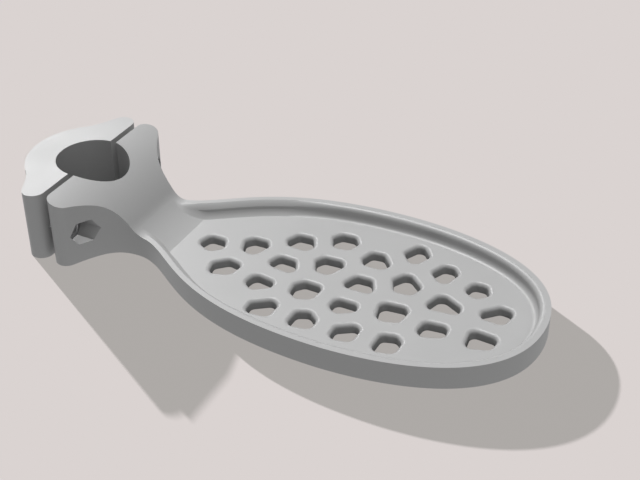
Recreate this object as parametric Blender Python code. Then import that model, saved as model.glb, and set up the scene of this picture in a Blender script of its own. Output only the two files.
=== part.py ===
"""Soap dish that clamps to a round pole.

A fish-shaped tray with drain holes grows out of one half of a split clamp.
A loose cap is the other half. Two screws with captive nuts draw it up.
Metres, +Z up. The origin is on the pole's axis, level with the underside.
+X runs from the clamp to the tray's tip, and the front is at y below zero.
"""
import math

import bmesh
import bpy
import numpy as np

# Clamp
POLE = 0.025
CLAMP_HEIGHT = 0.0248
SPLIT_GAP = 0.0023
BARREL_WALL = 0.0104
EAR_THICKNESS = 0.008
EAR_LENGTH = 0.0173
EAR_LEAN = 25.7
FLANK_HANDLE = 0.0117
CAP_JOIN_ANGLE = 40.5
CAP_JOIN_HANDLE = 0.0045

# Neck, seen from above and then from the side
NECK_LENGTH = 0.01275
NECK_WIDTH = 0.02654
NECK_HANDLE = 0.00775
CROWN_FALL = 0.157
CROWN_HANDLE = 0.0115
STEEP_BACK = 0.00275
STEEP_RISE = 0.0037
STEEP_FALL = 1.27
STEEP_HANDLE_IN = 0.0060
STEEP_HANDLE_OUT = 0.0025
FOOT_OUT = 0.0033
FOOT_HANDLE = 0.0030

# Tray
TRAY_LENGTH = 0.13835
TRAY_WIDTH = 0.07732
WIDEST_OUT = 0.07785
WAIST_HANDLE = 0.0153
WIDE_HANDLE_IN = 0.0549
WIDE_HANDLE_OUT = 0.0121
TIP_HANDLE = 0.0362
RIM_HEIGHT = 0.008
RIM_WALL = 0.0035
RIM_ROUND = 0.0017
FLOOR = 0.0034
FLOOR_COVE = 0.0020

# Ramp from the neck down to the tray's floor, measured from the waist
RAMP_START = -0.00075
RAMP_END = 0.01135
RAMP_START_RISE = 0.00002
RAMP_END_FALL = 0.28
RAMP_HANDLE = 0.0040

# Drain holes: each is the cell of one seed, drawn in from its neighbours' cells
HOLE_INSET = 0.0035
HOLE_CORNER = 0.0020
HOLE_LEAN = 0.05
HOLE_EASE = 0.0014

# Seeds in thousandths: of the tray's length from the waist, and of its half width there
HOLE_SEEDS = (
    (162, 28), (230, -301), (248, 162), (336, -341), (350, 11),
    (354, 404), (392, -615), (445, -273), (448, 183), (441, 543),
    (485, -595), (551, -303), (551, 29), (547, 417), (601, -578),
    (620, 648), (648, 202), (660, -216), (689, -604), (717, 509),
    (757, 77), (767, -282), (805, 465), (881, 181), (875, -282),
)
SOLID_SEEDS = (
    (63, -565), (118, -619), (267, -742), (280, -1027), (403, -1035),
    (503, -993), (625, -993), (718, -1021), (803, -684), (910, -881),
    (987, -877), (988, 759), (976, 151), (893, 782), (799, 834),
    (706, 944), (536, 796), (430, 975), (346, 823), (245, 682),
    (162, 587), (49, 369),
)

# Screws, captive nuts and their seats
SCREW_OUT = 0.0102
SCREW_HEIGHT = 0.0110
SCREW_D = 0.005
SCREW_LENGTH = 0.012
SCREW_TIP_EASE = 0.0005
HEAD_D = 0.0085
HEAD_HEIGHT = 0.0035
HEAD_EASE = 0.0003
SOCKET_FLATS = 0.003
SOCKET_DEPTH = 0.002
NUT_FLATS = 0.0078
NUT_HEIGHT = 0.0027
CAP_WEB = 0.0040
NUT_WEB = 0.0022
SHANK_CLEARANCE = 0.0003
HEAD_CLEARANCE = 0.0005
NUT_CLEARANCE = 0.0002
SEAT_GAP = 0.0003

# How finely curves are drawn
BORE_STEPS = 72
SCREW_STEPS = 24
EAR_STEPS = 10
FLANK_STEPS = 12
BARREL_STEPS = 12
TRAY_STEPS = 22
SIDE_STEPS = 10
RAMP_STEPS = 8
RIM_STEPS = 40
ROUND_STEPS = 2
FINE_STEPS = 150

# How far cutters reach past what they cut, and the least step between a cutter's rings
PAST = 0.005
RING_STEP = 0.00004

PLASTIC = (0.36, 0.36, 0.36, 1.0)
STEEL = (0.60, 0.60, 0.61, 1.0)

# Places that follow from the sizes above
BORE_R = POLE / 2
FACE_X = SPLIT_GAP / 2
EAR_R = EAR_THICKNESS / 2
EAR_CENTRE = np.array([FACE_X + EAR_R, EAR_R - BORE_R - EAR_LENGTH])
BARREL_R = BORE_R + BARREL_WALL
WAIST_X = BORE_R + NECK_LENGTH
WAIST = np.array([WAIST_X, -NECK_WIDTH / 2])
WIDEST = np.array([WAIST_X + WIDEST_OUT, -TRAY_WIDTH / 2])
TIP = np.array([WAIST_X + TRAY_LENGTH, 0.0])
RAMP_START_X = WAIST_X + RAMP_START
RAMP_END_X = WAIST_X + RAMP_END
FOOT_X = WAIST_X + FOOT_OUT
SCREW_Y = BORE_R + SCREW_OUT
HEAD_SEAT_X = -FACE_X - CAP_WEB
NUT_SEAT_X = FACE_X + NUT_WEB
TOP = CLAMP_HEIGHT + PAST
BOTTOM = -PAST


def clear_scene():
    for item in list(bpy.data.objects):
        bpy.data.objects.remove(item, do_unlink=True)


def make_material(name, colour, roughness, metallic):
    material = bpy.data.materials.new(name)
    material.use_nodes = True
    shader = material.node_tree.nodes["Principled BSDF"]
    shader.inputs["Base Color"].default_value = colour
    shader.inputs["Roughness"].default_value = roughness
    shader.inputs["Metallic"].default_value = metallic
    material.diffuse_color = colour
    return material


# Curves in a plane

def bezier(start, start_handle, end_handle, end, steps):
    """Points of a cubic curve, without its last one."""
    t = np.arange(steps)[:, None] / steps
    u = 1 - t
    return u**3 * start + 3 * u**2 * t * start_handle + 3 * u * t**2 * end_handle + t**3 * end


def arc(centre, radius, first, last, steps):
    """Points of a circular arc given in degrees, without its last one."""
    angle = np.radians(first + (last - first) * np.arange(steps) / steps)
    return centre + radius * np.column_stack([np.cos(angle), np.sin(angle)])


def heading(fall):
    """Unit direction of a line that falls by this much for each unit forwards."""
    return np.array([1.0, -fall]) / math.hypot(1.0, fall)


def with_mirror(half):
    """A half outline at y below zero, closed by its mirror image."""
    other = half[::-1] * (1, -1)
    off_centre = np.abs(other[:, 1]) > RING_STEP / 10
    return np.vstack([half, other[off_centre]])


# Outlines seen from above, at y below zero

def ear_end():
    return arc(EAR_CENTRE, EAR_R, 180.0, 360.0 - EAR_LEAN, EAR_STEPS)


def flank(end, end_handle, steps):
    """From the ear's round end along its leaning side to where it joins the rest."""
    lean = math.radians(EAR_LEAN)
    start = EAR_CENTRE + EAR_R * np.array([math.cos(lean), -math.sin(lean)])
    way = np.array([math.sin(lean), math.cos(lean)])
    return bezier(start, start + FLANK_HANDLE * way, end_handle, end, steps)


def tray_side(steps):
    """From the waist round the widest place to the tip."""
    forwards = np.array([1.0, 0.0])
    across = np.array([0.0, 1.0])
    return np.vstack([
        bezier(WAIST, WAIST + WAIST_HANDLE * forwards, WIDEST - WIDE_HANDLE_IN * forwards, WIDEST, steps),
        bezier(WIDEST, WIDEST + WIDE_HANDLE_OUT * forwards, TIP - TIP_HANDLE * across, TIP, steps),
        [TIP],
    ])


def dish_flank(steps):
    return flank(WAIST, WAIST - (NECK_HANDLE, 0.0), steps)


def dish_outline():
    middle = [(FACE_X, 0.0)]
    return with_mirror(np.vstack([middle, ear_end(), dish_flank(FLANK_STEPS), tray_side(TRAY_STEPS)]))


def cap_outline():
    """Drawn on the dish's side of the split, and then turned over it."""
    angle = math.radians(CAP_JOIN_ANGLE)
    join = BARREL_R * np.array([math.cos(angle), -math.sin(angle)])
    way = np.array([math.sin(angle), math.cos(angle)])
    side = flank(join, join - CAP_JOIN_HANDLE * way, FLANK_STEPS)
    barrel = arc((0.0, 0.0), BARREL_R, -CAP_JOIN_ANGLE, 0.0, BARREL_STEPS)
    half = np.vstack([[(FACE_X, 0.0)], ear_end(), side, barrel, [(BARREL_R, 0.0)]])
    return with_mirror(half)[::-1] * (-1, 1)


def tray_half_width(x):
    side = tray_side(FINE_STEPS)
    return np.interp(x, side[:, 0], -side[:, 1])


# Lines seen from the side

def top_line():
    """The dish's upper edge as x and z, from the split face down to the rim."""
    crown = np.array([FACE_X, CLAMP_HEIGHT])
    steep = np.array([WAIST_X - STEEP_BACK, RIM_HEIGHT + STEEP_RISE])
    foot = np.array([FOOT_X, RIM_HEIGHT])
    crown_handle = crown + CROWN_HANDLE * heading(CROWN_FALL)
    steep_in = steep - STEEP_HANDLE_IN * heading(STEEP_FALL)
    steep_out = steep + STEEP_HANDLE_OUT * heading(STEEP_FALL)
    return np.vstack([
        bezier(crown, crown_handle, steep_in, steep, SIDE_STEPS),
        bezier(steep, steep_out, foot - (FOOT_HANDLE, 0.0), foot, SIDE_STEPS),
        [foot],
    ])


def top_height(x):
    line = top_line()
    return np.interp(x, line[:, 0], line[:, 1])


def ramp_height(x):
    """The bottom of the tray's hollow: on from the neck's slope, down the ramp, and then level."""
    neck = top_height(np.array([RAMP_START_X, RAMP_START_X + RING_STEP]))
    start = np.array([RAMP_START_X, neck[0] + RAMP_START_RISE])
    end = np.array([RAMP_END_X, FLOOR])
    start_handle = start + RAMP_HANDLE * heading((neck[0] - neck[1]) / RING_STEP)
    end_handle = end - RAMP_HANDLE * heading(RAMP_END_FALL)
    line = np.vstack([bezier(start, start_handle, end_handle, end, FINE_STEPS), [end]])
    return np.interp(x, line[:, 0], line[:, 1])


# Solids

def new_object(name, builder, material=None, location=(0.0, 0.0, 0.0)):
    """An object from a finished bmesh, shaded smooth except at its sharp edges."""
    bmesh.ops.recalc_face_normals(builder, faces=builder.faces)
    mesh = bpy.data.meshes.new(name)
    builder.to_mesh(mesh)
    builder.free()
    mesh.shade_smooth()
    mesh.set_sharp_from_angle(angle=math.radians(30))
    return place(name, mesh, material, location)


def place(name, mesh, material, location):
    item = bpy.data.objects.new(name, mesh)
    item.location = location
    bpy.context.collection.objects.link(item)
    if material and not mesh.materials:
        mesh.materials.append(material)
    return item


def add_loft(builder, rings, ring_of_rings=False):
    """Joins rings of equal counts with quads, and closes the ends or joins them too."""
    rows = [[builder.verts.new(point) for point in ring] for ring in rings]
    pairs = list(zip(rows, rows[1:]))
    if ring_of_rings:
        pairs.append((rows[-1], rows[0]))
    for lower, upper in pairs:
        for i, corner in enumerate(lower):
            after = (i + 1) % len(lower)
            builder.faces.new((corner, lower[after], upper[after], upper[i]))
    if not ring_of_rings:
        builder.faces.new(rows[0])
        builder.faces.new(rows[-1])
    return rows


def loft(name, rings, material=None, location=(0.0, 0.0, 0.0), ring_of_rings=False):
    builder = bmesh.new()
    add_loft(builder, rings, ring_of_rings)
    return new_object(name, builder, material, location)


def upright(outline, z):
    """An outline seen from above, at one height or at a height for each point."""
    return np.column_stack([outline, np.broadcast_to(z, len(outline))])


def prism(name, outline, low, high, material=None):
    return loft(name, [upright(outline, low), upright(outline, high)], material)


def round_ring(x, radius, steps=SCREW_STEPS):
    """A circle about the X direction, starting at +Y."""
    angle = np.arange(steps) * 2 * math.pi / steps
    return np.column_stack([np.full(steps, x), radius * np.cos(angle), radius * np.sin(angle)])


def hex_ring(x, flats, steps=SCREW_STEPS):
    """A hexagon about the X direction with a corner at +Y."""
    angle = np.arange(steps) * 2 * math.pi / steps
    from_flat = np.mod(angle, math.pi / 3) - math.pi / 6
    radius = flats / 2 / np.cos(from_flat)
    return np.column_stack([np.full(steps, x), radius * np.cos(angle), radius * np.sin(angle)])


def cut(target, cutter):
    """Takes the cutter's shape out of the target and keeps the cutter as a guide."""
    modifier = target.modifiers.new(cutter.name, "BOOLEAN")
    modifier.operation = "DIFFERENCE"
    modifier.solver = "EXACT"
    modifier.object = cutter
    cutter.hide_render = True
    cutter.display_type = "WIRE"


def bore_cutter(name):
    outline = arc((0.0, 0.0), BORE_R, 0.0, 360.0, BORE_STEPS)
    return prism(name, outline, BOTTOM, TOP)


def along_x_cutters(name, ring, size, first, last):
    """The same straight hole on both screw axes, as one cutter."""
    builder = bmesh.new()
    for y in (-SCREW_Y, SCREW_Y):
        add_loft(builder, [ring(x, size) + (0.0, y, SCREW_HEIGHT) for x in (first, last)])
    return new_object(name, builder)


def above_cutter():
    """All that lies above the dish's upper edge."""
    line = top_line()
    back = line[0] - PAST * heading(CROWN_FALL)
    front = np.array([TIP[0] + PAST, RIM_HEIGHT])
    lid = [(front[0], TOP + PAST), (back[0], TOP + PAST)]
    side = np.vstack([[back], line, [front], lid])
    reach = TRAY_WIDTH
    rings = [np.column_stack([side[:, 0], np.full(len(side), y), side[:, 1]]) for y in (-reach, reach)]
    return loft("above_cutter", rings)


def inner_side(offset):
    """The dish's side moved inwards, read at the ramp's stations and then evenly to the tip."""
    edge = np.vstack([dish_flank(FINE_STEPS), tray_side(FINE_STEPS)])
    way = np.gradient(edge, axis=0)
    way[-1] = (0.0, 1.0)
    way /= np.linalg.norm(way, axis=1)[:, None]
    inner = edge + offset * np.column_stack([-way[:, 1], way[:, 0]])
    run = np.concatenate([[0.0], np.cumsum(np.linalg.norm(np.diff(inner, axis=0), axis=1))])
    ramp = np.interp(np.linspace(RAMP_START_X, RAMP_END_X, RAMP_STEPS + 1), inner[:, 0], run)
    places = np.concatenate([ramp, np.linspace(ramp[-1], run[-1], RIM_STEPS + 1)[1:]])
    return np.column_stack([np.interp(places, run, inner[:, 0]), np.interp(places, run, inner[:, 1])])


def at_offsets(offsets):
    """One inner side whose offset changes from point to point."""
    levels = np.linspace(offsets.min(), offsets.max() + RING_STEP, 5)
    sides = np.array([inner_side(level) for level in levels])
    share = (offsets - levels[0]) / (levels[1] - levels[0])
    low = np.minimum(share.astype(int), len(levels) - 2)
    part = (share - low)[:, None]
    point = np.arange(len(offsets))
    return sides[low, point] * (1 - part) + sides[low + 1, point] * part


def hollow_cutter():
    """The tray's hollow: ramp and floor, cove, wall and the rim's inner round.

    Where the ramp leaves too little depth for both radii, they turn through less than 90 degrees."""
    x = inner_side(RIM_WALL)[:, 0]
    bottom = ramp_height(x)
    top = top_height(x)
    depth = np.maximum(top - bottom, 2 * RING_STEP)
    steepest = np.arccos(np.maximum(1 - depth / (FLOOR_COVE + RIM_ROUND), 0.0))
    turns = [steepest * step / ROUND_STEPS for step in range(ROUND_STEPS + 1)]
    levels = []
    for a in turns:
        inwards = FLOOR_COVE * (np.sin(steepest) - np.sin(a))
        levels.append((RIM_WALL + inwards, bottom + FLOOR_COVE * (1 - np.cos(a))))
    for a in turns[::-1]:
        outwards = RIM_ROUND * (np.sin(steepest) - np.sin(a))
        levels.append((RIM_WALL - outwards, top - RIM_ROUND * (1 - np.cos(a))))
    levels.append((RIM_WALL - RIM_ROUND * np.sin(steepest), np.full(len(x), TOP)))
    rings = []
    for k, (offset, height) in enumerate(levels):
        half = upright(at_offsets(offset), np.maximum(height, bottom + k * RING_STEP))
        rings.append(np.vstack([half, half[-2::-1] * (1, -1, 1)]))
    builder = bmesh.new()
    rows = [[builder.verts.new(point) for point in ring] for ring in rings]
    count = len(rows[0])
    for lower, upper in zip(rows, rows[1:]):
        for i in range(count):
            after = (i + 1) % count
            builder.faces.new((lower[i], lower[after], upper[after], upper[i]))
    floor = rows[0]
    for i in range(RAMP_STEPS):
        builder.faces.new((floor[i], floor[i + 1], floor[count - 2 - i], floor[count - 1 - i]))
    builder.faces.new(floor[RAMP_STEPS:count - RAMP_STEPS])
    builder.faces.new(rows[-1])
    return new_object("hollow_cutter", builder)


# Drain holes

def seed_places(seeds):
    shares = np.array(seeds) / 1000
    x = WAIST_X + TRAY_LENGTH * shares[:, 0]
    return np.column_stack([x, tray_half_width(x) * shares[:, 1]])


def clip(polygon, way, limit):
    """The part of a convex polygon that lies no further along a direction than the limit."""
    kept = []
    for here, there in zip(polygon, polygon[1:] + polygon[:1]):
        a = np.dot(here, way) - limit
        b = np.dot(there, way) - limit
        if a <= 0:
            kept.append(here)
        if a * b < 0:
            kept.append(here + (there - here) * a / (a - b))
    return kept


def cell(seed, others, inset):
    """The ground nearer to this seed than to any other, drawn in on every side."""
    reach = TRAY_WIDTH
    polygon = [seed + np.array(corner) * reach for corner in ((-1, -1), (1, -1), (1, 1), (-1, 1))]
    for other in others:
        gap = np.linalg.norm(other - seed)
        way = (other - seed) / gap
        polygon = clip(polygon, way, np.dot(seed, way) + gap / 2 - inset)
    return polygon


def swell(polygon, radius):
    """A convex polygon moved outwards, with an arc at each corner."""
    points = []
    for before, here, after in zip(polygon[-1:] + polygon[:-1], polygon, polygon[1:] + polygon[:1]):
        first = math.atan2(before[0] - here[0], here[1] - before[1])
        last = math.atan2(here[0] - after[0], after[1] - here[1])
        turn = (last - first) % (2 * math.pi)
        for step in range(ROUND_STEPS + 1):
            angle = first + turn * step / ROUND_STEPS
            points.append(here + radius * np.array([math.cos(angle), math.sin(angle)]))
    return np.array(points)


def hole_cutters():
    """All drain holes: walls that lean out a little, with a rounded upper edge."""
    seeds = seed_places(HOLE_SEEDS)
    others = np.vstack([seeds, seed_places(SOLID_SEEDS)])
    turns = np.radians(np.linspace(0.0, 90.0, ROUND_STEPS + 1))
    wall_top = FLOOR - HOLE_EASE
    widest = HOLE_CORNER + HOLE_LEAN * wall_top + HOLE_EASE
    levels = [(HOLE_CORNER + HOLE_LEAN * BOTTOM, BOTTOM)]
    levels += [(widest - HOLE_EASE * math.cos(a), wall_top + HOLE_EASE * math.sin(a)) for a in turns]
    levels.append((widest, FLOOR + HOLE_EASE))
    builder = bmesh.new()
    for i, seed in enumerate(seeds):
        core = cell(seed, np.delete(others, i, axis=0), HOLE_INSET + HOLE_CORNER)
        add_loft(builder, [upright(swell(core, radius), z) for radius, z in levels])
    return new_object("hole_cutters", builder)


# Pieces

def make_dish(material):
    """Tray, neck and the clamp's fixed half: one moulded piece."""
    dish = prism("dish", dish_outline(), 0.0, TOP, material)
    cut(dish, above_cutter())
    cut(dish, hollow_cutter())
    cut(dish, hole_cutters())
    cut(dish, bore_cutter("dish_bore_cutter"))
    shank = SCREW_D / 2 + SHANK_CLEARANCE
    cut(dish, along_x_cutters("dish_screw_holes", round_ring, shank, -PAST, NUT_SEAT_X + PAST))
    pocket = NUT_FLATS + 2 * NUT_CLEARANCE
    cut(dish, along_x_cutters("nut_pockets", hex_ring, pocket, NUT_SEAT_X, BARREL_R + PAST))
    return dish


def make_cap(material):
    cap = prism("clamp_cap", cap_outline(), 0.0, CLAMP_HEIGHT, material)
    cut(cap, bore_cutter("cap_bore_cutter"))
    shank = SCREW_D / 2 + SHANK_CLEARANCE
    cut(cap, along_x_cutters("cap_screw_holes", round_ring, shank, HEAD_SEAT_X - PAST, PAST))
    well = HEAD_D / 2 + HEAD_CLEARANCE
    cut(cap, along_x_cutters("head_wells", round_ring, well, -BARREL_R - PAST, HEAD_SEAT_X))
    return cap


def screw_mesh(material):
    """A low socket head and a plain shank, with its origin on the axis under the head."""
    head = HEAD_D / 2
    shank = SCREW_D / 2
    builder = bmesh.new()
    add_loft(builder, [
        hex_ring(SOCKET_DEPTH - HEAD_HEIGHT, SOCKET_FLATS),
        hex_ring(-HEAD_HEIGHT, SOCKET_FLATS),
        round_ring(-HEAD_HEIGHT, head - HEAD_EASE),
        round_ring(HEAD_EASE - HEAD_HEIGHT, head),
        round_ring(0.0, head),
        round_ring(0.0, shank),
        round_ring(SCREW_LENGTH - SCREW_TIP_EASE, shank),
        round_ring(SCREW_LENGTH, shank - SCREW_TIP_EASE),
    ])
    item = new_object("screw_front", builder, material)
    return item


def make_screws(material):
    front = screw_mesh(material)
    back = place("screw_back", front.data, material, (0.0, 0.0, 0.0))
    front.location = (HEAD_SEAT_X - SEAT_GAP, -SCREW_Y, SCREW_HEIGHT)
    back.location = (HEAD_SEAT_X - SEAT_GAP, SCREW_Y, SCREW_HEIGHT)


def make_nuts(material):
    """Thin hexagon nuts with their corners to the front and back."""
    bore = SCREW_D / 2 + SHANK_CLEARANCE
    front = loft("nut_front", [
        hex_ring(0.0, NUT_FLATS),
        hex_ring(NUT_HEIGHT, NUT_FLATS),
        round_ring(NUT_HEIGHT, bore),
        round_ring(0.0, bore),
    ], material, ring_of_rings=True)
    back = place("nut_back", front.data, material, (0.0, 0.0, 0.0))
    front.location = (NUT_SEAT_X + SEAT_GAP, -SCREW_Y, SCREW_HEIGHT)
    back.location = (NUT_SEAT_X + SEAT_GAP, SCREW_Y, SCREW_HEIGHT)


def main():
    clear_scene()
    plastic = make_material("dish_plastic", PLASTIC, 0.5, 0.0)
    cap_plastic = make_material("cap_plastic", PLASTIC, 0.5, 0.0)
    screw_steel = make_material("screw_steel", STEEL, 0.35, 1.0)
    nut_steel = make_material("nut_steel", STEEL, 0.4, 1.0)
    make_dish(plastic)
    make_cap(cap_plastic)
    make_screws(screw_steel)
    make_nuts(nut_steel)


main()
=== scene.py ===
# %% [markdown]
# # A soap dish that clamps to a pole
#
# The real dish is two light grey plastic pieces. The larger one is a fish-shaped tray with
# drain holes, a short neck, and one half of a split clamp. The smaller one is the loose
# other half. Two steel screws pass through the loose half and pull on nuts that sit in
# hexagonal pockets, so the clamp grips a round pole.
#
# The engineering model comes first and is never moved. This script draws a finer surface
# over each of its pieces, and then adds the floor, the lamps and the camera.

import math

import bmesh
import bpy
import numpy as np
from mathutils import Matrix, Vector


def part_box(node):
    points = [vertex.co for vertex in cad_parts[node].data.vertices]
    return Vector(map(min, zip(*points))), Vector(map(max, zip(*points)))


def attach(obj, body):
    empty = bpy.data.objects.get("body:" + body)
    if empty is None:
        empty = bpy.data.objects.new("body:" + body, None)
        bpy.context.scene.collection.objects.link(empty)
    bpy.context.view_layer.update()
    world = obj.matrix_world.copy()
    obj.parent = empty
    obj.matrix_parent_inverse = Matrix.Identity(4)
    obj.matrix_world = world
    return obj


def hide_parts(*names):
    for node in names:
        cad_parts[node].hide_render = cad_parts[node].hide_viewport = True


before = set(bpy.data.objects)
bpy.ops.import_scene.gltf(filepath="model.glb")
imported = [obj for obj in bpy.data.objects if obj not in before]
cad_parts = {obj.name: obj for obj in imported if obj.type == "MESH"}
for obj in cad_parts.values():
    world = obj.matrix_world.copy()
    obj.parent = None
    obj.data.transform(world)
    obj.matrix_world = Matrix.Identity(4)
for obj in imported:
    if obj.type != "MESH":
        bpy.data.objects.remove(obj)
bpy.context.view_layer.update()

# %% [markdown]
# ## Sizes
#
# The outer sizes are read from the engineering model, so the fine surfaces can't drift away
# from it. The sizes that a box can't show, such as wall thicknesses and the handles of the
# curves, are written here once, in millimetres. The outline's handles are the rounded result
# of a separate program, which fitted its curves to the edges in the photograph. Everything is
# then worked out in metres. PAST is how far a cutting shape reaches past what it cuts, so
# that no faces coincide.

# %% Sizes read from the model, and the ones that no box shows
MM = 0.001

dish_low, dish_high = (np.array(corner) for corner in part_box("dish"))
cap_low, cap_high = (np.array(corner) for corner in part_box("clamp_cap"))
nut_low, nut_high = (np.array(corner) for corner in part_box("nut_back"))
screw_low, screw_high = (np.array(corner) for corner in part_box("screw_back"))

CLAMP_HEIGHT = cap_high[2]
FACE_X = dish_low[0]
BARREL_R = -cap_low[0]
EAR_REACH = cap_high[1]
TIP_X = dish_high[0]
HALF_WIDTH = dish_high[1]

BORE_R = 12.5 * MM
EAR_R = 4 * MM
EAR_LEAN = math.radians(25.7)
FLANK_HANDLE = 11.7 * MM
CAP_JOIN = math.radians(40.5)
CAP_JOIN_HANDLE = 4.5 * MM

WAIST_X = 25.25 * MM
WAIST_Y = 13.27 * MM
NECK_HANDLE = 7.75 * MM
WIDEST_X = 103.1 * MM
WAIST_HANDLE = 15.3 * MM
WIDE_HANDLE_IN = 54.9 * MM
WIDE_HANDLE_OUT = 12.1 * MM
TIP_HANDLE = 36.2 * MM

RIM_HEIGHT = 8 * MM
RIM_WALL = 3.5 * MM
RIM_ROUND = 1.7 * MM
FLOOR = 3.4 * MM
FLOOR_COVE = 2.0 * MM

PAST = 5 * MM
print(f"tray tip at {TIP_X / MM:.1f} mm, half width {HALF_WIDTH / MM:.2f} mm")

# %% [markdown]
# ## Curves
#
# Every outline of the dish is made of two kinds of curve. A cubic curve is set by its two
# ends and a handle at each, which is how a designer draws a flowing side. A circular arc
# does for the round ends of the clamp's ears. Both are worked out as one array of points,
# without a loop over the points.


# %% Cubic curves, arcs and mirror images
TINY = 1e-6


def bezier(start, start_handle, end_handle, end, steps):
    """(1-t)^3 A + 3(1-t)^2 t B + 3(1-t) t^2 C + t^3 D for t from 0 up to, not including, 1."""
    t = np.arange(steps)[:, None] / steps
    u = 1 - t
    return u**3 * start + 3 * u**2 * t * start_handle + 3 * u * t**2 * end_handle + t**3 * end


def arc(centre, radius, first, last, steps):
    """centre + radius (cos a, sin a) for the angle a from first up to, not including, last."""
    angle = first + (last - first) * np.arange(steps) / steps
    return centre + radius * np.column_stack([np.cos(angle), np.sin(angle)])


def heading(fall):
    """Unit direction of a line that falls by this much for each unit forwards."""
    return np.array([1.0, -fall]) / math.hypot(1.0, fall)


def with_mirror(half):
    """A half outline at y below zero, closed by its mirror image y -> -y."""
    other = half[::-1] * (1, -1)
    return np.vstack([half, other[np.abs(other[:, 1]) > TINY]])


# %% [markdown]
# ## From arrays to meshes
#
# Almost every shape here is a stack of rings with the same number of points in each: an
# outline at two heights is a plate, and a circle at many places along its axis is a screw.
# One function turns such a stack into a closed mesh. The faces come from index arithmetic
# on the grid of points, so a fine surface costs no more code than a coarse one.


# %% Skin a stack of rings
def grid_faces(rings, around, first=0, join_ends=False):
    """Quads between ring r, point p and its neighbours (r, p+1), (r+1, p+1), (r+1, p)."""
    bands = rings if join_ends else rings - 1
    r, p = np.meshgrid(np.arange(bands), np.arange(around), indexing="ij")
    q = (p + 1) % around
    s = (r + 1) % rings
    corners = [r * around + p, r * around + q, s * around + q, s * around + p]
    return (first + np.stack(corners, axis=-1).reshape(-1, 4)).tolist()


def mesh_object(name, points, faces):
    """A mesh from points and faces, with its faces turned outwards."""
    mesh = bpy.data.meshes.new(name)
    mesh.from_pydata(points.tolist(), [], faces)
    shell = bmesh.new()
    shell.from_mesh(mesh)
    bmesh.ops.recalc_face_normals(shell, faces=shell.faces)
    shell.to_mesh(mesh)
    shell.free()
    item = bpy.data.objects.new(name, mesh)
    bpy.context.scene.collection.objects.link(item)
    return item


def skin_parts(rings, first=0, join_ends=False):
    """Points and faces of one closed skin; flat ends are closed with one face each."""
    count, around = rings.shape[:2]
    faces = grid_faces(count, around, first, join_ends)
    if not join_ends:
        faces.append(list(range(first, first + around)))
        faces.append(list(range(first + (count - 1) * around, first + count * around)))
    return rings.reshape(-1, 3), faces


def skin(name, rings, join_ends=False):
    """One closed skin as a mesh of its own."""
    points, faces = skin_parts(np.asarray(rings), 0, join_ends)
    return mesh_object(name, points, faces)


def skins(name, stacks):
    """Several separate closed skins in one mesh."""
    points, faces, first = [], [], 0
    for rings in stacks:
        more_points, more_faces = skin_parts(np.asarray(rings), first)
        points.append(more_points)
        faces.extend(more_faces)
        first += len(more_points)
    return mesh_object(name, np.vstack(points), faces)


def upright(outline, z):
    """An outline seen from above, lifted to one height or to a height for each point."""
    return np.column_stack([outline, np.broadcast_to(z, len(outline))])


# %% [markdown]
# ## Cutting
#
# Holes could be modelled face by face, but the curved flanks make that slow work. A Boolean
# takes one closed shape out of another, and its exact solver keeps the edges clean. When
# all cuts are made, the result is written into the mesh and the cutting shapes are removed.


# %% Cut shapes out of a piece and keep the result
def carve(piece, cutters):
    """The piece less all its cutters, in their order, written into its mesh."""
    for cutter in cutters:
        cut = piece.modifiers.new(cutter.name, "BOOLEAN")
        cut.operation = "DIFFERENCE"
        cut.solver = "EXACT"
        cut.object = cutter
    evaluated = piece.evaluated_get(bpy.context.evaluated_depsgraph_get())
    mesh = bpy.data.meshes.new_from_object(evaluated)
    piece.modifiers.clear()
    piece.data = mesh
    for cutter in cutters:
        bpy.data.objects.remove(cutter, do_unlink=True)
    print(f"{piece.name}: {len(mesh.polygons)} faces after {len(cutters)} cuts")


def smooth(piece, sharp_angle=32):
    """Smooth shading, with sharp edges kept and large flat faces deciding the normals."""
    piece.data.shade_smooth()
    piece.data.set_sharp_from_angle(angle=math.radians(sharp_angle))
    weigh = piece.modifiers.new("even_normals", "WEIGHTED_NORMAL")
    weigh.keep_sharp = True


# %% [markdown]
# ## The dish seen from above
#
# The outline starts at the split, goes round the ear's end, leans in along the flank to the
# narrow waist, swells to the widest place and closes at the tip. Only the front half is
# drawn. The back half is its mirror image, because the real tray is the same on both sides.

# %% Outline of the dish
EAR_CENTRE = np.array([FACE_X + EAR_R, EAR_R - EAR_REACH])
WAIST = np.array([WAIST_X, -WAIST_Y])
WIDEST = np.array([WIDEST_X, -HALF_WIDTH])
TIP = np.array([TIP_X, 0.0])
FORWARDS = np.array([1.0, 0.0])
ACROSS = np.array([0.0, 1.0])
FINE = 160


def ear_end(steps=28):
    """The round end of an ear, from the split to where the flank begins."""
    return arc(EAR_CENTRE, EAR_R, math.pi, 2 * math.pi - EAR_LEAN, steps)


def flank(end, end_handle, steps=48):
    """The leaning side of an ear, tangent to its round end."""
    start = EAR_CENTRE + EAR_R * np.array([math.cos(EAR_LEAN), -math.sin(EAR_LEAN)])
    way = np.array([math.sin(EAR_LEAN), math.cos(EAR_LEAN)])
    return bezier(start, start + FLANK_HANDLE * way, end_handle, end, steps)


def tray_side(steps):
    """Two cubic curves: waist to the widest place, and on to the tip."""
    waist_out = WAIST + WAIST_HANDLE * FORWARDS
    wide_in = WIDEST - WIDE_HANDLE_IN * FORWARDS
    wide_out = WIDEST + WIDE_HANDLE_OUT * FORWARDS
    tip_in = TIP - TIP_HANDLE * ACROSS
    return np.vstack([
        bezier(WAIST, waist_out, wide_in, WIDEST, steps),
        bezier(WIDEST, wide_out, tip_in, TIP, steps),
        [TIP],
    ])


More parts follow.
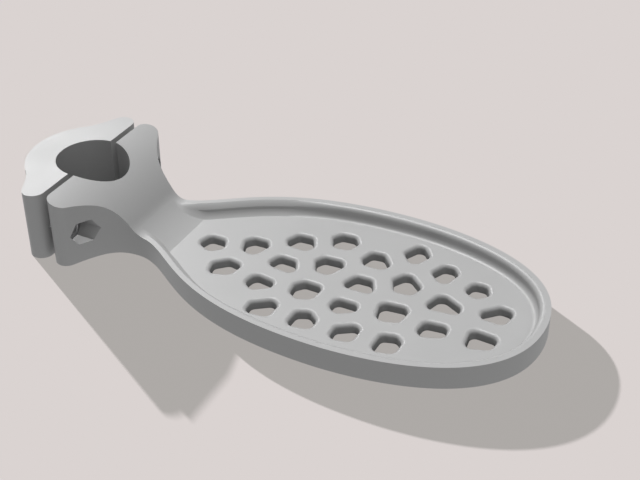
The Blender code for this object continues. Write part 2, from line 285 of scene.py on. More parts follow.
dish_flank = flank(WAIST, WAIST - NECK_HANDLE * FORWARDS)
dish_outline = with_mirror(np.vstack([[(FACE_X, 0.0)], ear_end(), dish_flank, tray_side(FINE)]))
print("points round the dish:", len(dish_outline))

# %% [markdown]
# ## The dish seen from the side
#
# The top of the clamp falls gently, then steeply over the neck, and runs out level on the
# rim. Inside the rim a ramp leads from the neck down to the tray's floor, where it ends in
# a slight crease that catches the light.

# %% Upper edge and ramp
CROWN_FALL = 0.157
CROWN_HANDLE = 11.5 * MM
STEEP_FALL = 1.27
STEEP_X = WAIST_X - 2.75 * MM
STEEP_Z = RIM_HEIGHT + 3.7 * MM
STEEP_HANDLE_IN = 6 * MM
STEEP_HANDLE_OUT = 2.5 * MM
FOOT_X = WAIST_X + 3.3 * MM
FOOT_HANDLE = 3 * MM
RAMP_START_X = WAIST_X - 0.75 * MM
RAMP_END_X = WAIST_X + 11.35 * MM
RAMP_HANDLE = 4 * MM
RAMP_END_FALL = 0.28


def top_line(steps):
    """Two cubic curves in x and z: crown to the steepest place, and on to the rim."""
    crown = np.array([FACE_X, CLAMP_HEIGHT])
    steep = np.array([STEEP_X, STEEP_Z])
    foot = np.array([FOOT_X, RIM_HEIGHT])
    crown_handle = crown + CROWN_HANDLE * heading(CROWN_FALL)
    steep_in = steep - STEEP_HANDLE_IN * heading(STEEP_FALL)
    steep_out = steep + STEEP_HANDLE_OUT * heading(STEEP_FALL)
    return np.vstack([
        bezier(crown, crown_handle, steep_in, steep, steps),
        bezier(steep, steep_out, foot - FOOT_HANDLE * FORWARDS, foot, steps),
        [foot],
    ])


def top_height(x):
    """Height of the upper edge at x."""
    line = top_line(FINE)
    return np.interp(x, line[:, 0], line[:, 1])


def ramp_height(x):
    """One cubic curve that goes on from the neck's slope to the floor, and level after it."""
    step = 0.04 * MM
    clear = 0.02 * MM
    neck = top_height(np.array([RAMP_START_X, RAMP_START_X + step]))
    start = np.array([RAMP_START_X, neck[0] + clear])
    end = np.array([RAMP_END_X, FLOOR])
    start_handle = start + RAMP_HANDLE * heading((neck[0] - neck[1]) / step)
    end_handle = end - RAMP_HANDLE * heading(RAMP_END_FALL)
    line = np.vstack([bezier(start, start_handle, end_handle, end, FINE), [end]])
    return np.interp(x, line[:, 0], line[:, 1])


print(f"rim {RIM_HEIGHT / MM:.0f} mm high")
print(f"ramp from x {RAMP_START_X / MM:.2f} to {RAMP_END_X / MM:.2f} mm")

# %% [markdown]
# ## The hollow of the tray
#
# Inside the rim the section is a quarter round at the top, a short wall, and a quarter
# round, called a cove, into the floor. A section like this can be swept with a curve and a
# bevel object, but here its height changes along the ramp. So each line of the section is
# the outline moved inwards by its own distance, at its own height, and the lines are
# skinned as rings of one cutting shape. On the ramp both rounds turn less far, as there is
# less depth. Near the neck they are almost flat, like bevels, as the photograph shows, and
# they grow round towards the middle of the tray. RING_GAP keeps each ring above the last
# one where the wall has no height left.

# %% The hollow as a cutting shape
RAMP_STEPS = 48
RIM_STEPS = 220
ROUND_STEPS = 8
RING_GAP = 0.005 * MM
NECK_FLATNESS = 0.75
FLAT_UNTIL = 78 * MM
FLAT_FADE = 16 * MM
SIDE = np.vstack([dish_flank, tray_side(FINE)])
SIDE_WAY = np.gradient(SIDE, axis=0)
SIDE_WAY[-1] = ACROSS
SIDE_WAY /= np.linalg.norm(SIDE_WAY, axis=1)[:, None]
SIDE_IN = np.column_stack([-SIDE_WAY[:, 1], SIDE_WAY[:, 0]])
print("wall of the hollow", RIM_WALL / MM, "mm inside the outline")


def inner_side(offset):
    """The side moved inwards, read at even steps along the ramp and then on to the tip."""
    inner = SIDE + offset * SIDE_IN
    run = np.concatenate([[0.0], np.cumsum(np.linalg.norm(np.diff(inner, axis=0), axis=1))])
    ramp_x = np.linspace(RAMP_START_X, RAMP_END_X, RAMP_STEPS + 1)
    ramp = np.interp(ramp_x, inner[:, 0], run)
    places = np.concatenate([ramp, np.linspace(ramp[-1], run[-1], RIM_STEPS + 1)[1:]])
    return np.column_stack([np.interp(places, run, axis) for axis in inner.T])


def at_offsets(offsets):
    """The inner side with an offset of its own at each point, blended from nine even offsets."""
    levels = np.linspace(offsets.min(), offsets.max() + 0.1 * MM, 9)
    sides = np.array([inner_side(level) for level in levels])
    share = (offsets - levels[0]) / (levels[1] - levels[0])
    low = np.minimum(share.astype(int), len(levels) - 2)
    part = (share - low)[:, None]
    point = np.arange(len(offsets))
    return sides[low, point] * (1 - part) + sides[low + 1, point] * part


def quarter(steepest, flat):
    """(sin s - sin a, 1 - cos a) for a from 0 to the steepest s, drawn towards its chord."""
    points = []
    for share in np.linspace(0.0, 1.0, ROUND_STEPS + 1):
        a = share * steepest
        out = (1 - flat) * (np.sin(steepest) - np.sin(a)) + flat * (1 - share) * np.sin(steepest)
        up = (1 - flat) * (1 - np.cos(a)) + flat * share * (1 - np.cos(steepest))
        points.append((out, up))
    return points


def hollow_cutter():
    """Rings (inward offset, height) of cove, wall and round, skinned and closed."""
    x = inner_side(RIM_WALL)[:, 0]
    bottom = ramp_height(x)
    top = top_height(x)
    shallowest = 0.1 * MM
    depth = np.maximum(top - bottom, shallowest)
    steepest = np.arccos(np.maximum(1 - depth / (FLOOR_COVE + RIM_ROUND), 0.0))
    flat = NECK_FLATNESS * np.clip((FLAT_UNTIL - x) / FLAT_FADE, 0.0, 1.0)
    turn = quarter(steepest, flat)
    levels = [(RIM_WALL + FLOOR_COVE * out, bottom + FLOOR_COVE * up) for out, up in turn]
    levels += [(RIM_WALL - RIM_ROUND * out, top - RIM_ROUND * up) for out, up in turn[::-1]]
    levels.append((levels[-1][0], np.full(len(x), CLAMP_HEIGHT + PAST)))
    rings = []
    for k, (offset, height) in enumerate(levels):
        half = upright(at_offsets(offset), np.maximum(height, bottom + k * RING_GAP))
        rings.append(np.vstack([half, half[-2::-1] * (1, -1, 1)]))
    rings = np.array(rings)
    around = rings.shape[1]
    points = rings.reshape(-1, 3)
    faces = grid_faces(len(rings), around)
    near = np.arange(RAMP_STEPS)
    ramp = np.stack([near, near + 1, around - 2 - near, around - 1 - near], axis=-1)
    faces += ramp.tolist()
    faces.append(list(range(RAMP_STEPS, around - RAMP_STEPS)))
    faces.append(list(range(len(points) - around, len(points))))
    return mesh_object("hollow_cutter", points, faces)


# %% [markdown]
# ## The drain holes
#
# The holes look random, but one rule draws them all from a list of points. Each point gets
# the ground that is nearer to it than to any other: its cell. Draw every cell in from its
# borders and the holes stay apart by an even rib. Along the rim the cells of some extra
# points are left solid. The corners get a small radius and the upper edges a round.
#
# Both lists of points are the output of a separate program. It moved the points until the
# cells matched the holes in the photograph, and its result was rounded and copied here. They
# weren't chosen by hand.
#
# A cell is cut out by straight borders, one for each neighbour. Its corners are the
# crossings of two borders that no third border cuts off, which one array can test at once.

# %% Seeds of the pattern, in thousandths of the tray's length and of its half width there
HOLE_SEEDS = np.array([
    (162, 28), (230, -301), (248, 162), (336, -341), (350, 11),
    (354, 404), (392, -615), (445, -273), (448, 183), (441, 543),
    (485, -595), (551, -303), (551, 29), (547, 417), (601, -578),
    (620, 648), (648, 202), (660, -216), (689, -604), (717, 509),
    (757, 77), (767, -282), (805, 465), (881, 181), (875, -282),
]) / 1000
SOLID_SEEDS = np.array([
    (63, -565), (118, -619), (267, -742), (280, -1027), (403, -1035),
    (503, -993), (625, -993), (718, -1021), (803, -684), (910, -881),
    (987, -877), (988, 759), (976, 151), (893, 782), (799, 834),
    (706, 944), (536, 796), (430, 975), (346, 823), (245, 682),
    (162, 587), (49, 369),
]) / 1000
HOLE_INSET = 3.5 * MM
HOLE_CORNER = 2.0 * MM
HOLE_LEAN = 0.05
HOLE_EASE = 1.4 * MM
ON_BORDER = 1e-9
print("seeds:", len(HOLE_SEEDS), "for holes,", len(SOLID_SEEDS), "left solid")


# %% Cells, rounded outlines and the cutting shapes of the holes
def seed_places(shares):
    """x runs from the waist to the tip, and y is a share of the half width at that x."""
    side = tray_side(FINE)
    x = WAIST_X + (TIP_X - WAIST_X) * shares[:, 0]
    return np.column_stack([x, np.interp(x, side[:, 0], -side[:, 1]) * shares[:, 1]])


def cell(seed, others, inset):
    """Corners of the cell: border k is n_k . p = n_k . (seed + other) / 2 - inset."""
    gap = np.linalg.norm(others - seed, axis=1)
    way = (others - seed) / gap[:, None]
    limit = way @ seed + gap / 2 - inset
    i, j = np.triu_indices(len(others), 1)
    cross = way[i, 0] * way[j, 1] - way[i, 1] * way[j, 0]
    i, j, cross = (v[np.abs(cross) > TINY] for v in (i, j, cross))
    x = (limit[i] * way[j, 1] - limit[j] * way[i, 1]) / cross
    y = (way[i, 0] * limit[j] - way[j, 0] * limit[i]) / cross
    points = np.column_stack([x, y])
    corners = points[np.all(points @ way.T <= limit + ON_BORDER, axis=1)]
    turn = np.arctan2(*(corners - corners.mean(axis=0)).T[::-1])
    return corners[np.argsort(turn)]


def swell(corners, radius, steps=ROUND_STEPS):
    """Each corner c becomes the arc c + radius (cos a, sin a) between its edges' normals."""
    edge = np.roll(corners, -1, axis=0) - corners
    normal = np.arctan2(-edge[:, 0], edge[:, 1])
    before = np.roll(normal, 1)
    turn = np.mod(normal - before, 2 * math.pi)
    angle = before[:, None] + turn[:, None] * np.linspace(0.0, 1.0, steps + 1)
    arcs = corners[:, None, :] + radius * np.stack([np.cos(angle), np.sin(angle)], axis=-1)
    return arcs.reshape(-1, 2)


def hole_cutters():
    """Every hole as a stack of rings that lean out by HOLE_LEAN and flare by a quarter round."""
    seeds = seed_places(HOLE_SEEDS)
    others = np.vstack([seeds, seed_places(SOLID_SEEDS)])
    wall_top = FLOOR - HOLE_EASE
    widest = HOLE_CORNER + HOLE_LEAN * wall_top + HOLE_EASE
    turns = np.linspace(0.0, math.pi / 2, ROUND_STEPS + 1)
    levels = [(HOLE_CORNER - HOLE_LEAN * PAST, -PAST)]
    levels += [
        (widest - HOLE_EASE * math.cos(a), wall_top + HOLE_EASE * math.sin(a)) for a in turns
    ]
    levels.append((widest, FLOOR + 1 * MM))
    stacks = []
    for i, seed in enumerate(seeds):
        core = cell(seed, np.delete(others, i, axis=0), HOLE_INSET + HOLE_CORNER)
        stacks.append([upright(swell(core, radius), z) for radius, z in levels])
    print("drain holes:", len(stacks))
    return skins("hole_cutters", stacks)


# %% [markdown]
# ## Round and hexagonal rings along X
#
# Screws, nuts, and the holes for them all lie along X, so their rings stand in the Y-Z
# plane. A hexagon is a ring too: its radius is the distance from the axis to the flat side
# in each direction, which is half the width across flats over a cosine.

# %% Rings along X, and the clamp's cutting shapes
SCREW_Y = (screw_low[1] + screw_high[1]) / 2
SCREW_Z = (screw_low[2] + screw_high[2]) / 2
HEAD_R = (screw_high[1] - screw_low[1]) / 2
NUT_FLATS = nut_high[2] - nut_low[2]
SEAT_GAP = 0.3 * MM
NUT_SEAT_X = nut_low[0] - SEAT_GAP
SHANK_HOLE_R = 2.8 * MM
POCKET_FLATS = NUT_FLATS + 0.4 * MM
WELL_R = HEAD_R + 0.5 * MM
HEAD_HEIGHT = 3.5 * MM
HEAD_SEAT_X = screw_low[0] + HEAD_HEIGHT + SEAT_GAP


def ring_angles(steps):
    """Even steps of one full turn, in radians."""
    return np.arange(steps) * 2 * math.pi / steps


def x_ring(x, radius, y, z, steps):
    """(x, y + r cos a, z + r sin a), where r is one radius or one for each angle."""
    a = ring_angles(steps)
    return np.column_stack([np.full(steps, x), y + radius * np.cos(a), z + radius * np.sin(a)])


def hex_radius(flats, steps=96):
    """Distance from the axis to a hexagon with a corner at angle 0, in each direction."""
    return flats / 2 / np.cos(np.mod(ring_angles(steps), math.pi / 3) - math.pi / 6)


def pair_cutter(name, radius, first, last, steps=96):
    """The same straight hole on both screw axes."""
    return skins(name, [
        [x_ring(x, radius, y, SCREW_Z, steps) for x in (first, last)] for y in (-SCREW_Y, SCREW_Y)
    ])


def bore_cutter(name):
    """The pole's round hole, through the full height of the clamp."""
    circle = arc((0.0, 0.0), BORE_R, 0.0, 2 * math.pi, 256)
    return skin(name, [upright(circle, -PAST), upright(circle, CLAMP_HEIGHT + PAST)])


def above_cutter():
    """All that lies above the upper edge: its line in x and z, drawn out along y."""
    line = top_line(40)
    back = line[0] - PAST * heading(CROWN_FALL)
    lid = CLAMP_HEIGHT + 2 * PAST
    lid_line = [(TIP_X + PAST, RIM_HEIGHT), (TIP_X + PAST, lid), (back[0], lid)]
    x, z = np.vstack([[back], line, lid_line]).T
    return skin("above_cutter", [
        np.column_stack([x, np.full(len(x), y), z]) for y in (-2 * HALF_WIDTH, 2 * HALF_WIDTH)
    ])


print(f"screws at y +-{SCREW_Y / MM:.1f}, z {SCREW_Z / MM:.1f} mm")
print(f"nut pockets {POCKET_FLATS / MM:.1f} mm across flats")

# %% [markdown]
# ## The dish
#
# A plate of the outline's shape, taller than needed, is carved in the order in which one
# would think of it: the upper edge, the hollow, the drain holes, the bore for the pole,
# and last the holes for screws and nuts.

# %% Carve the dish
plate = [upright(dish_outline, 0.0), upright(dish_outline, CLAMP_HEIGHT + PAST)]
dish = skin("dish_shell", plate)
carve(dish, [
    above_cutter(),
    hollow_cutter(),
    hole_cutters(),
    bore_cutter("dish_bore"),
    pair_cutter("dish_screw_holes", SHANK_HOLE_R, -PAST, NUT_SEAT_X + PAST),
    pair_cutter("nut_pockets", hex_radius(POCKET_FLATS, 6), NUT_SEAT_X, BARREL_R + PAST, 6),
])
smooth(dish)

# %% [markdown]
# ## The loose half of the clamp
#
# Its ears mirror the dish's ears across the split. Between them the flanks run into a
# round back, which keeps the wall about as thick as the clamp needs around the bore.

# %% Carve the cap
cap_join = BARREL_R * np.array([math.cos(CAP_JOIN), -math.sin(CAP_JOIN)])
cap_way = np.array([math.sin(CAP_JOIN), math.cos(CAP_JOIN)])
cap_half = np.vstack([
    [(FACE_X, 0.0)],
    ear_end(),
    flank(cap_join, cap_join - CAP_JOIN_HANDLE * cap_way),
    arc((0.0, 0.0), BARREL_R, -CAP_JOIN, 0.0, 64),
    [(BARREL_R, 0.0)],
])
cap_outline = with_mirror(cap_half)[::-1] * (-1, 1)
cap = skin("cap_shell", [upright(cap_outline, 0.0), upright(cap_outline, CLAMP_HEIGHT)])
carve(cap, [
    bore_cutter("cap_bore"),
    pair_cutter("cap_screw_holes", SHANK_HOLE_R, HEAD_SEAT_X - PAST, PAST),
    pair_cutter("head_wells", WELL_R, -BARREL_R - PAST, HEAD_SEAT_X),
])
smooth(cap)

# %% [markdown]
# ## Screws
#
# A screw is one closed stack of rings. Along the head the radius follows the head's
# profile, and the fine knurl on its side is a ripple of the radius with the angle. Along
# the shank the thread is a ramp that climbs with the angle: the radius depends on
# x / pitch - angle / turn, so the crest moves on by one pitch in each turn. A stack can't
# end in a single point, so it ends in a ring too small to see, of radius POINT_R.

# %% Thread, head and socket
PITCH = 0.8 * MM
THREAD_DEPTH = 0.49 * MM
THREAD_START = 0.4 * MM
SHANK_R = 2.5 * MM
FILLET = 0.25 * MM
FILLET_HEIGHT = 0.2 * MM
TIP_SLOPE = 0.8
AROUND = 144
PER_PITCH = 8
POINT_R = 0.02 * MM
SOCKET_FLATS = 3 * MM
SOCKET_DEPTH = 2 * MM
SOCKET_CONE = 0.5 * MM
SOCKET_LEDGE = 0.95
SOCKET_EASE = 0.25 * MM
HEAD_ROUND = 0.35 * MM
KNURLS = 36
KNURL_DEPTH = 0.09 * MM
KNURL_FROM = 0.12
KNURL_TO = 0.95
KNURL_FADE = 0.06
CREST_SHARE = 0.12
HEAD_STEPS = 33


def thread_radius(x, crest, depth, steps=AROUND):
    """crest - depth * flat-topped triangle wave of (x / pitch - angle / full turn)."""
    phase = np.mod(x / PITCH - ring_angles(steps) / (2 * math.pi), 1.0)
    wave = np.abs(2 * phase - 1)
    return crest - depth * np.clip((wave - CREST_SHARE) / (1 - 2 * CREST_SHARE), 0.0, 1.0)


def head_radius(x_share, steps=AROUND):
    """The head's side: rounded at the drive end, with a knurl that fades out at both edges."""
    edge = HEAD_R - HEAD_ROUND * max(0.0, 1 - x_share / KNURL_FROM) ** 2
    fade = np.clip(min(x_share - KNURL_FROM, KNURL_TO - x_share) / KNURL_FADE, 0.0, 1.0)
    return edge - KNURL_DEPTH * fade * (1 + np.cos(KNURLS * ring_angles(steps))) / 2


def screw_rings(y):
    """From the middle of the socket's bottom out over the head and along the thread to the tip."""
    tip_x = screw_high[0]
    drive_x = screw_low[0]
    under_x = drive_x + HEAD_HEIGHT
    hexagon = hex_radius(SOCKET_FLATS, AROUND)
    rings = [
        (drive_x + SOCKET_DEPTH + SOCKET_CONE, POINT_R),
        (drive_x + SOCKET_DEPTH, SOCKET_LEDGE * hexagon),
        (drive_x + SOCKET_DEPTH, hexagon),
        (drive_x + SOCKET_EASE, hexagon),
        (drive_x, hexagon + SOCKET_EASE),
        (drive_x, HEAD_R - HEAD_ROUND),
    ]
    shares = np.linspace(0.0, 1.0, HEAD_STEPS)[1:]
    rings += [(drive_x + s * HEAD_HEIGHT, head_radius(s)) for s in shares]
    rings += [(under_x, SHANK_R + FILLET), (under_x + FILLET_HEIGHT, SHANK_R)]
    along = np.arange(under_x + THREAD_START, tip_x, PITCH / PER_PITCH)
    fade_in = np.clip((along - under_x - THREAD_START) / PITCH, 0.0, 1.0)
    rings += [(x, thread_radius(x, SHANK_R, THREAD_DEPTH * f)) for x, f in zip(along, fade_in)]
    start = SHANK_R - THREAD_DEPTH
    rings = [(x, np.minimum(r, start + max(0.0, tip_x - x) / TIP_SLOPE)) for x, r in rings]
    rings += [(tip_x, start), (tip_x, POINT_R)]
    return [x_ring(x, r, y, SCREW_Z, AROUND) for x, r in rings]


SIDES = {"front": -SCREW_Y, "back": SCREW_Y}
screws = {side: skin(f"screw_{side}_fine", screw_rings(y)) for side, y in SIDES.items()}
for screw in screws.values():
    smooth(screw, 40)
    print(screw.name, len(screw.data.polygons), "faces")

# %% [markdown]
# ## Nuts
#
# A nut is a hexagon whose corners are turned off on a cone at both ends. The cone and the
# hexagon meet in the curved line that every nut shows. Taking the smaller of the two radii
# in each direction gives that line with no cutting. The threaded bore closes the surface:
# the last ring joins the first.

# %% Hexagon, cones and inner thread
NUT_STEPS = 41
CONE_START = 0.95
CONE_ANGLE = math.radians(30)
MOUTH_R = SHANK_R + 0.2 * MM
MOUTH_DEPTH = 0.25 * MM
NUT_THREAD_R = SHANK_R + 0.1 * MM
NUT_THREAD_DEPTH = THREAD_DEPTH - 0.04 * MM


def nut_rings(y):
    """The outer skin from end to end, and back through the thread."""
    low, high = nut_low[0], nut_high[0]
    hexagon = hex_radius(NUT_FLATS, AROUND)
    x = low + (high - low) * np.linspace(0.0, 1.0, NUT_STEPS)
    cone = NUT_FLATS / 2 * CONE_START + np.minimum(x - low, high - x) / math.tan(CONE_ANGLE)
    rings = [(a, np.minimum(hexagon, c)) for a, c in zip(x, cone)]
    back = np.arange(high - MOUTH_DEPTH, low + MOUTH_DEPTH - 0.01 * MM, -PITCH / PER_PITCH)
    rings += [(high, MOUTH_R)]
    rings += [(a, thread_radius(a, NUT_THREAD_R, NUT_THREAD_DEPTH)) for a in back]
    rings += [(low, MOUTH_R)]
    return [x_ring(a, r, y, SCREW_Z, AROUND) for a, r in rings]


nuts = {
    side: skin(f"nut_{side}_fine", nut_rings(y), join_ends=True) for side, y in SIDES.items()
}
for nut in nuts.values():
    smooth(nut, 40)
    print(nut.name, len(nut.data.polygons), "faces")

# %% [markdown]
# ## Plastic
#
# The plastic is a plain light grey with a satin face. A single colour would look like a
# drawing, so the finish has three quiet layers: a fine grain that breaks up highlights, a
# slow unevenness of the gloss, and a barely visible drift of the colour.

# %% A satin plastic
PLASTIC = (0.36, 0.36, 0.36)
PLASTIC_ROUGHNESS = 0.40
PLASTIC_GRAIN = 2600
GRAIN_STRENGTH = 0.12
GRAIN_HEIGHT = 0.02 * MM
PLASTIC_CLOUDS = 55
GLOSS_DRIFT = 0.03
COLOUR_DRIFT = 0.015


def noise(nodes, links, coordinates, scale, detail=2.0):
    """A noise that varies scale times in each metre of the piece."""
    texture = nodes.new("ShaderNodeTexNoise")
    texture.inputs["Scale"].default_value = scale
    texture.inputs["Detail"].default_value = detail
    links.new(coordinates.outputs["Object"], texture.inputs["Vector"])
    return texture


def spread(nodes, links, source, low, high):
    """Maps a noise of 0.3 to 0.7 to the range low to high."""
    remap = nodes.new("ShaderNodeMapRange")
    remap.inputs["From Min"].default_value = 0.3
    remap.inputs["From Max"].default_value = 0.7
    remap.inputs["To Min"].default_value = low
    remap.inputs["To Max"].default_value = high
    links.new(source.outputs["Fac"], remap.inputs["Value"])
    return remap


def satin_plastic(name, colour, roughness):
    """Grain in the normal, and one slow noise in both the gloss and the colour."""
    material = bpy.data.materials.new(name)
    material.use_nodes = True
    nodes, links = material.node_tree.nodes, material.node_tree.links
    shader = nodes["Principled BSDF"]
    coordinates = nodes.new("ShaderNodeTexCoord")
    grain = noise(nodes, links, coordinates, PLASTIC_GRAIN)
    clouds = noise(nodes, links, coordinates, PLASTIC_CLOUDS)
    bump = nodes.new("ShaderNodeBump")
    bump.inputs["Strength"].default_value = GRAIN_STRENGTH
    bump.inputs["Distance"].default_value = GRAIN_HEIGHT
    links.new(grain.outputs["Fac"], bump.inputs["Height"])
    links.new(bump.outputs["Normal"], shader.inputs["Normal"])
    gloss = spread(nodes, links, clouds, roughness - GLOSS_DRIFT, roughness + GLOSS_DRIFT)
    links.new(gloss.outputs["Result"], shader.inputs["Roughness"])
    drift = nodes.new("ShaderNodeMixRGB")
    drift.inputs["Color1"].default_value = (*((1 - COLOUR_DRIFT) * c for c in colour), 1.0)
    drift.inputs["Color2"].default_value = (*((1 + COLOUR_DRIFT) * c for c in colour), 1.0)
    links.new(clouds.outputs["Fac"], drift.inputs["Fac"])
    links.new(drift.outputs["Color"], shader.inputs["Base Color"])
    return material


dish_plastic = satin_plastic("dish_satin_plastic", PLASTIC, PLASTIC_ROUGHNESS)
cap_plastic = satin_plastic("cap_satin_plastic", PLASTIC, PLASTIC_ROUGHNESS)
print("plastic colour:", PLASTIC)

# %% [markdown]
# ## Steel
#
# Screws and nuts are plain stainless steel. Machining leaves marks too fine to see one by
# one, so they are drawn as a fine noise in the gloss.


# %% A turned steel
STEEL = (0.60, 0.60, 0.61)
STEEL_SCRATCHES = 1800
SCRATCH_GLOSS = 0.07


def turned_steel(name, roughness):
    """Metal whose gloss is broken up by a fine, detailed noise."""
    material = bpy.data.materials.new(name)
    material.use_nodes = True
    nodes, links = material.node_tree.nodes, material.node_tree.links
    shader = nodes["Principled BSDF"]
    shader.inputs["Base Color"].default_value = (*STEEL, 1.0)
    shader.inputs["Metallic"].default_value = 1.0
    coordinates = nodes.new("ShaderNodeTexCoord")
    scratches = noise(nodes, links, coordinates, STEEL_SCRATCHES, 4.0)
    low, high = roughness - SCRATCH_GLOSS, roughness + SCRATCH_GLOSS
    gloss = spread(nodes, links, scratches, low, high)
    links.new(gloss.outputs["Result"], shader.inputs["Roughness"])
    return material


screw_steel = turned_steel("screw_turned_steel", 0.30)
nut_steel = turned_steel("nut_turned_steel", 0.36)
print("steel colour:", STEEL)

# %% [markdown]
# ## Put the fine pieces in place of the plain ones
#
# Each fine piece rides on the body that it belongs to, takes its material, and takes the
# place of one node of the engineering model, which is hidden.


# %% Dress the model
def dress(piece, body, node, material):
    """The piece's material, the body it rides on and the node it stands for."""
    piece.data.materials.clear()
    piece.data.materials.append(material)
    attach(piece, body)
    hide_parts(node)


dress(dish, "dish_body", "dish", dish_plastic)
dress(cap, "cap_body", "clamp_cap", cap_plastic)
for side in ("front", "back"):
    dress(screws[side], f"screw_{side}_body", f"screw_{side}", screw_steel)
    dress(nuts[side], "dish_body", f"nut_{side}", nut_steel)
print("dressed:", ", ".join(piece.name for piece in (dish, cap, *screws.values(), *nuts.values())))

# %% [markdown]
# ## Floor
#
# The photograph shows an even, slightly warm floor that meets no horizon, with one long
# shadow on it and no darkening where the tray touches it. So the floor glows with the
# colour of its shadow, and one lamp adds the rest wherever the object doesn't stand in its
# way. What the object itself sees of the floor is a plain glow of strength BOUNCE, so its
# sides are lit evenly down to their lower edges. The ground under the tray and inside the
# clamp's bore gives no light back, which keeps the walls of the drain holes and the foot of
# the bore dark. These two patches lie a hair above the rest of the floor. SKY is the
# strength of the even light from all round, which the lamps' cell below needs too.

# %% A pale floor
SKY = 0.26
BOUNCE = 0.605
SHADOW_COLOUR = np.array([0.421, 0.400, 0.384])
SUNLIT_COLOUR = np.array([0.701, 0.651, 0.638])
LAMP_COLOUR = SUNLIT_COLOUR - SHADOW_COLOUR
FLOOR_ALBEDO = 0.05
FLOOR_HALF = 3.0
FLOOR_DROP = 0.04 * MM
PATCH_DROP = 0.02 * MM


def floor_material(name, bounce):
    """Camera rays see glow + lit matte; all others meet a plain glow of strength bounce."""
    material = bpy.data.materials.new(name)
    material.use_nodes = True
    nodes, links = material.node_tree.nodes, material.node_tree.links
    nodes.clear()
    output = nodes.new("ShaderNodeOutputMaterial")
    seen = nodes.new("ShaderNodeAddShader")
    glow = nodes.new("ShaderNodeEmission")
    even = nodes.new("ShaderNodeEmission")
    matte = nodes.new("ShaderNodeBsdfDiffuse")
    choose = nodes.new("ShaderNodeMixShader")
    path = nodes.new("ShaderNodeLightPath")
    even.inputs["Color"].default_value = (bounce, bounce, bounce, 1.0)
    tint = FLOOR_ALBEDO * LAMP_COLOUR / LAMP_COLOUR.max()
    glow.inputs["Color"].default_value = (*(SHADOW_COLOUR - tint * SKY), 1.0)
    matte.inputs["Color"].default_value = (*tint, 1.0)
    links.new(glow.outputs["Emission"], seen.inputs[0])
    links.new(matte.outputs["BSDF"], seen.inputs[1])
    links.new(path.outputs["Is Camera Ray"], choose.inputs["Fac"])
    links.new(even.outputs["Emission"], choose.inputs[1])
    links.new(seen.outputs["Shader"], choose.inputs[2])
    links.new(choose.outputs["Shader"], output.inputs["Surface"])
    return material


def floor_piece(name, outline, z, bounce):
    """One flat face at height z, with a floor material of its own."""
    mesh = bpy.data.meshes.new(name)
    mesh.from_pydata([(x, y, z) for x, y in outline], [], [list(range(len(outline)))])
    mesh.materials.append(floor_material(name, bounce))
    piece = bpy.data.objects.new(name, mesh)
    bpy.context.scene.collection.objects.link(piece)
    return piece


floor_corners = FLOOR_HALF * np.array([(-1, -1), (1, -1), (1, 1), (-1, 1)])
under_tray = dish_outline[dish_outline[:, 0] >= WAIST_X]
in_bore = arc((0.0, 0.0), BORE_R, 0.0, 2 * math.pi, 64)
floor_pieces = [
    floor_piece("studio_floor", floor_corners, -FLOOR_DROP, BOUNCE),
    floor_piece("floor_under_tray", under_tray, -PATCH_DROP, 0.0),
    floor_piece("floor_in_bore", in_bore, -PATCH_DROP, 0.0),
]
print("floor pieces:", ", ".join(piece.name for piece in floor_pieces))

# %% [markdown]
# ## Light
#
# The shadow tells where one lamp stands: low, behind the clamp and to its left. In the
# photograph it darkens the floor only, so that lamp is linked to the floor. The plastic is
# lit by an even sky and by lamps that are linked to the object. The main one stands high
# behind the clamp and is wide, so the bore, the split and the nut pockets fall off softly
# into the dark. Weaker ones fill in from straight above and from the front. The last stands
# low behind on the left and gives the clamp's flat top its sheen. It casts no shadow, or the
# rim would draw a dark band on the tray's floor that the photograph doesn't show. The
# strengths come from a separate program's fit to the photograph's brightness, adjusted in
# trial renders.


# %% Sky and lamps
def towards(azimuth, elevation):
    """(cos e cos a, cos e sin a, sin e) for angles in degrees."""
    a, e = math.radians(azimuth), math.radians(elevation)
    return Vector((math.cos(e) * math.cos(a), math.cos(e) * math.sin(a), math.sin(e)))


def sun(name, way, strength, angle, shadow):
    """A lamp infinitely far away in one direction, and angle degrees wide."""
    data = bpy.data.lights.new(name, "SUN")
    data.energy = strength
    data.angle = math.radians(angle)
    data.use_shadow = shadow
    lamp = bpy.data.objects.new(name, data)
    bpy.context.scene.collection.objects.link(lamp)
    lamp.rotation_euler = way.to_track_quat("Z", "Y").to_euler()
    return lamp


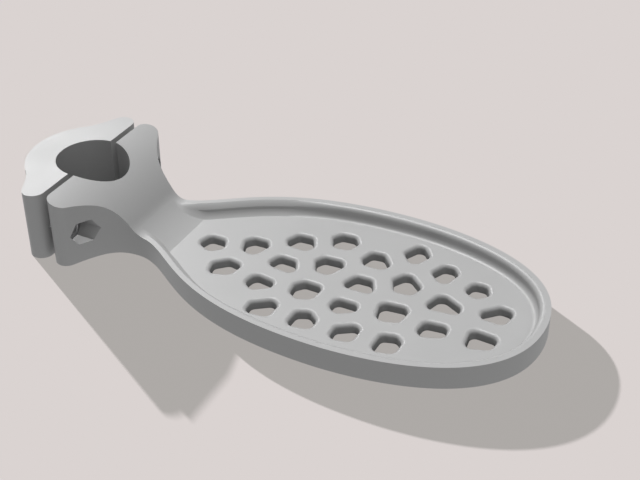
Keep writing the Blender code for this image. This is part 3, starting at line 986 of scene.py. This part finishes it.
def shine_only_on(name, pieces, lamps):
    """Links the lamps to a collection that holds just these pieces."""
    receivers = bpy.data.collections.new(name)
    for piece in pieces:
        receivers.objects.link(piece)
    for lamp in lamps:
        lamp.light_linking.receiver_collection = receivers
        print(f"{lamp.name}: strength {lamp.data.energy:.3f}, {name}")


to_key = towards(150.3, 14.8)
floor_share = LAMP_COLOUR.max() * math.pi / (FLOOR_ALBEDO * to_key.z)
shine_only_on("only_floor", floor_pieces, [sun("floor_key", to_key, floor_share, 0.8, True)])
shine_only_on("only_object", (dish, cap, *screws.values(), *nuts.values()), [
    sun("main", towards(150, 66), 2.42, 30, True),
    sun("top", towards(0, 90), 0.51, 30, True),
    sun("fill", towards(-30, 45), 0.41, 30, True),
    sun("sheen", towards(135, 30), 0.646, 10, False),
])

world = bpy.data.worlds.new("studio")
world.use_nodes = True
world.node_tree.nodes["Background"].inputs["Color"].default_value = (SKY, SKY, SKY, 1.0)
bpy.context.scene.world = world
bpy.context.scene.view_settings.view_transform = "Standard"

# %% [markdown]
# ## Camera
#
# The camera was found from the photograph itself. Straight edges of the clamp, the circle
# of the bore and the outline of the tray fix where it stood and how wide it saw.

# %% Camera
AZIMUTH = math.radians(26.43)
ELEVATION = math.radians(34.26)
AIM = np.array([76.31, 22.47, 0.0]) * MM
DISTANCE = 410.7 * MM
FOCAL_PIXELS = 1185.6
IMAGE_WIDTH = 640

camera_data = bpy.data.cameras.new("camera")
camera_data.sensor_width = 36
camera_data.lens = camera_data.sensor_width * FOCAL_PIXELS / IMAGE_WIDTH
camera_data.clip_start = 0.01
camera = bpy.data.objects.new("camera", camera_data)
bpy.context.scene.collection.objects.link(camera)
back = np.array([
    math.sin(AZIMUTH) * math.cos(ELEVATION),
    -math.cos(AZIMUTH) * math.cos(ELEVATION),
    math.sin(ELEVATION),
])
camera.location = AIM + DISTANCE * back
camera.rotation_euler = (math.pi / 2 - ELEVATION, 0.0, AZIMUTH)
bpy.context.scene.camera = camera
print(f"camera {camera_data.lens:.1f} mm lens, {DISTANCE / MM:.0f} mm from what it looks at")
